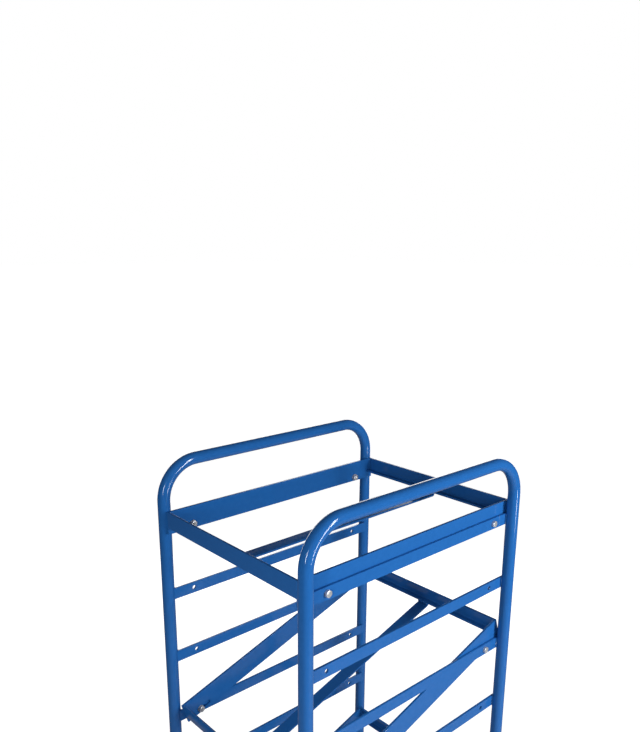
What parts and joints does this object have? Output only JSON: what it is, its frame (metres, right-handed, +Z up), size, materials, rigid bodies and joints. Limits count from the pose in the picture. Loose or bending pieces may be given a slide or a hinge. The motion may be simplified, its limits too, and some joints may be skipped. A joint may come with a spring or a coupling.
{
  "type": "shelf trolley",
  "caption": "Tall shelf trolley of bent-tube hoops with crossbars, flat-bar shelves that bolt on level or sloped to the front, and an angle base frame on swivel castors, some with brakes.",
  "frame": {"origin": "on the floor under the middle of the trolley", "axes": "+Z up, +X towards the right hoop with the braked castors, +Y towards the back, where the shelves pivot"},
  "size_m": [0.482, 0.6268, 1.5],
  "materials": {
    "blue_coat": "gloss blue powder coat",
    "zinc": "bright zinc plate",
    "castor_steel": "zinc plated pressed steel",
    "pedal_steel": "black coated steel",
    "wheel_plastic": "moulded nylon",
    "grey_tyre": "non-marking grey rubber",
    "black_plastic": "moulded plastic"
  },
  "bodies": {
    "root": {"left_hoop": "blue_coat", "left_crossbars": "blue_coat", "left_foot_bar": "blue_coat", "right_hoop": "blue_coat", "right_crossbars": "blue_coat", "right_foot_bar": "blue_coat", "left_base_rail": "blue_coat", "right_base_rail": "blue_coat", "front_base_rail": "blue_coat", "rear_base_rail": "blue_coat", "castor_mount_plates": "blue_coat", "post_plugs": "black_plastic", "base_bolts": "zinc", "base_nuts": "zinc", "pivot_bolts": "zinc", "pivot_nuts": "zinc", "front_bolts": "zinc", "castor_bolts": "zinc", "castor_nuts": "zinc", "front_left_castor_head": "castor_steel", "rear_left_castor_head": "castor_steel", "front_right_castor_head": "castor_steel", "rear_right_castor_head": "castor_steel"},
    "shelf_1": {"shelf_1_left_rail": "blue_coat", "shelf_1_right_rail": "blue_coat", "shelf_1_front_bar": "blue_coat", "shelf_1_rear_bar": "blue_coat", "shelf_1_strut": "blue_coat"},
    "shelf_1_nuts": {"shelf_1_front_nuts": "zinc"},
    "shelf_2": {"shelf_2_left_rail": "blue_coat", "shelf_2_right_rail": "blue_coat", "shelf_2_front_bar": "blue_coat", "shelf_2_rear_bar": "blue_coat", "shelf_2_strut": "blue_coat"},
    "shelf_2_nuts": {"shelf_2_front_nuts": "zinc"},
    "shelf_3": {"shelf_3_left_rail": "blue_coat", "shelf_3_right_rail": "blue_coat", "shelf_3_front_bar": "blue_coat", "shelf_3_rear_bar": "blue_coat", "shelf_3_strut": "blue_coat"},
    "shelf_3_nuts": {"shelf_3_front_nuts": "zinc"},
    "front_left_castor_swivel": {"front_left_castor_fork": "castor_steel", "front_left_castor_axle": "zinc"},
    "front_left_castor_roller": {"front_left_castor_wheel": "wheel_plastic", "front_left_castor_tyre": "grey_tyre"},
    "rear_left_castor_swivel": {"rear_left_castor_fork": "castor_steel", "rear_left_castor_axle": "zinc"},
    "rear_left_castor_roller": {"rear_left_castor_wheel": "wheel_plastic", "rear_left_castor_tyre": "grey_tyre"},
    "front_right_castor_swivel": {"front_right_castor_fork": "castor_steel", "front_right_castor_axle": "zinc"},
    "front_right_castor_roller": {"front_right_castor_wheel": "wheel_plastic", "front_right_castor_tyre": "grey_tyre"},
    "front_right_castor_brake": {"front_right_castor_brake_pedal": "pedal_steel"},
    "rear_right_castor_swivel": {"rear_right_castor_fork": "castor_steel", "rear_right_castor_axle": "zinc"},
    "rear_right_castor_roller": {"rear_right_castor_wheel": "wheel_plastic", "rear_right_castor_tyre": "grey_tyre"},
    "rear_right_castor_brake": {"rear_right_castor_brake_pedal": "pedal_steel"}
  },
  "joints": [
    {"name": "shelf_1_tilt", "type": "hinge", "parent": "root", "child": "shelf_1", "pos_m": [0, 0.243, 1.348], "axis": [1, 0, 0], "range_deg": [0, 17.37]},
    {"name": "shelf_1_nut_slide", "type": "slide", "parent": "shelf_1", "child": "shelf_1_nuts", "axis": [0, -1, 0], "range_m": [0, 0.02327]},
    {"name": "shelf_2_tilt", "type": "hinge", "parent": "root", "child": "shelf_2", "pos_m": [0, 0.243, 1.044], "axis": [1, 0, 0], "range_deg": [-17.37, 0]},
    {"name": "shelf_2_nut_slide", "type": "slide", "parent": "shelf_2", "child": "shelf_2_nuts", "axis": [0, -0.9544, -0.2985], "range_m": [-0.02327, 0]},
    {"name": "shelf_3_tilt", "type": "hinge", "parent": "root", "child": "shelf_3", "pos_m": [0, 0.243, 0.588], "axis": [1, 0, 0], "range_deg": [-17.37, 0]},
    {"name": "shelf_3_nut_slide", "type": "slide", "parent": "shelf_3", "child": "shelf_3_nuts", "axis": [0, -0.9544, -0.2985], "range_m": [-0.02327, 0]},
    {"name": "front_left_castor_swivel_turn", "type": "hinge", "parent": "root", "child": "front_left_castor_swivel", "pos_m": [-0.15505, -0.245, 0.1], "axis": [0, 0, 1], "continuous": true},
    {"name": "front_left_castor_wheel_spin", "type": "hinge", "parent": "front_left_castor_swivel", "child": "front_left_castor_roller", "pos_m": [-0.18705, -0.245, 0.05], "axis": [0, 1, 0], "continuous": true},
    {"name": "rear_left_castor_swivel_turn", "type": "hinge", "parent": "root", "child": "rear_left_castor_swivel", "pos_m": [-0.15505, 0.245, 0.1], "axis": [0, 0, 1], "continuous": true},
    {"name": "rear_left_castor_wheel_spin", "type": "hinge", "parent": "rear_left_castor_swivel", "child": "rear_left_castor_roller", "pos_m": [-0.18705, 0.245, 0.05], "axis": [0, 1, 0], "continuous": true},
    {"name": "front_right_castor_swivel_turn", "type": "hinge", "parent": "root", "child": "front_right_castor_swivel", "pos_m": [0.15505, -0.245, 0.1], "axis": [0, 0, 1], "continuous": true},
    {"name": "front_right_castor_wheel_spin", "type": "hinge", "parent": "front_right_castor_swivel", "child": "front_right_castor_roller", "pos_m": [0.12305, -0.245, 0.05], "axis": [0, 1, 0], "continuous": true},
    {"name": "front_right_castor_brake_press", "type": "hinge", "parent": "front_right_castor_swivel", "child": "front_right_castor_brake", "pos_m": [0.10905, -0.245, 0.11], "axis": [0, -1, 0], "range_deg": [0, 20]},
    {"name": "rear_right_castor_swivel_turn", "type": "hinge", "parent": "root", "child": "rear_right_castor_swivel", "pos_m": [0.15505, 0.245, 0.1], "axis": [0, 0, 1], "continuous": true},
    {"name": "rear_right_castor_wheel_spin", "type": "hinge", "parent": "rear_right_castor_swivel", "child": "rear_right_castor_roller", "pos_m": [0.12305, 0.245, 0.05], "axis": [0, 1, 0], "continuous": true},
    {"name": "rear_right_castor_brake_press", "type": "hinge", "parent": "rear_right_castor_swivel", "child": "rear_right_castor_brake", "pos_m": [0.10905, 0.245, 0.11], "axis": [0, -1, 0], "range_deg": [0, 20]}
  ],
  "couplings": [
    {"joint": "shelf_1_nut_slide", "follows": "shelf_1_tilt", "m_per_rad": 0.076587},
    {"joint": "shelf_2_nut_slide", "follows": "shelf_2_tilt", "m_per_rad": 0.076587},
    {"joint": "shelf_3_nut_slide", "follows": "shelf_3_tilt", "m_per_rad": 0.076587}
  ]
}
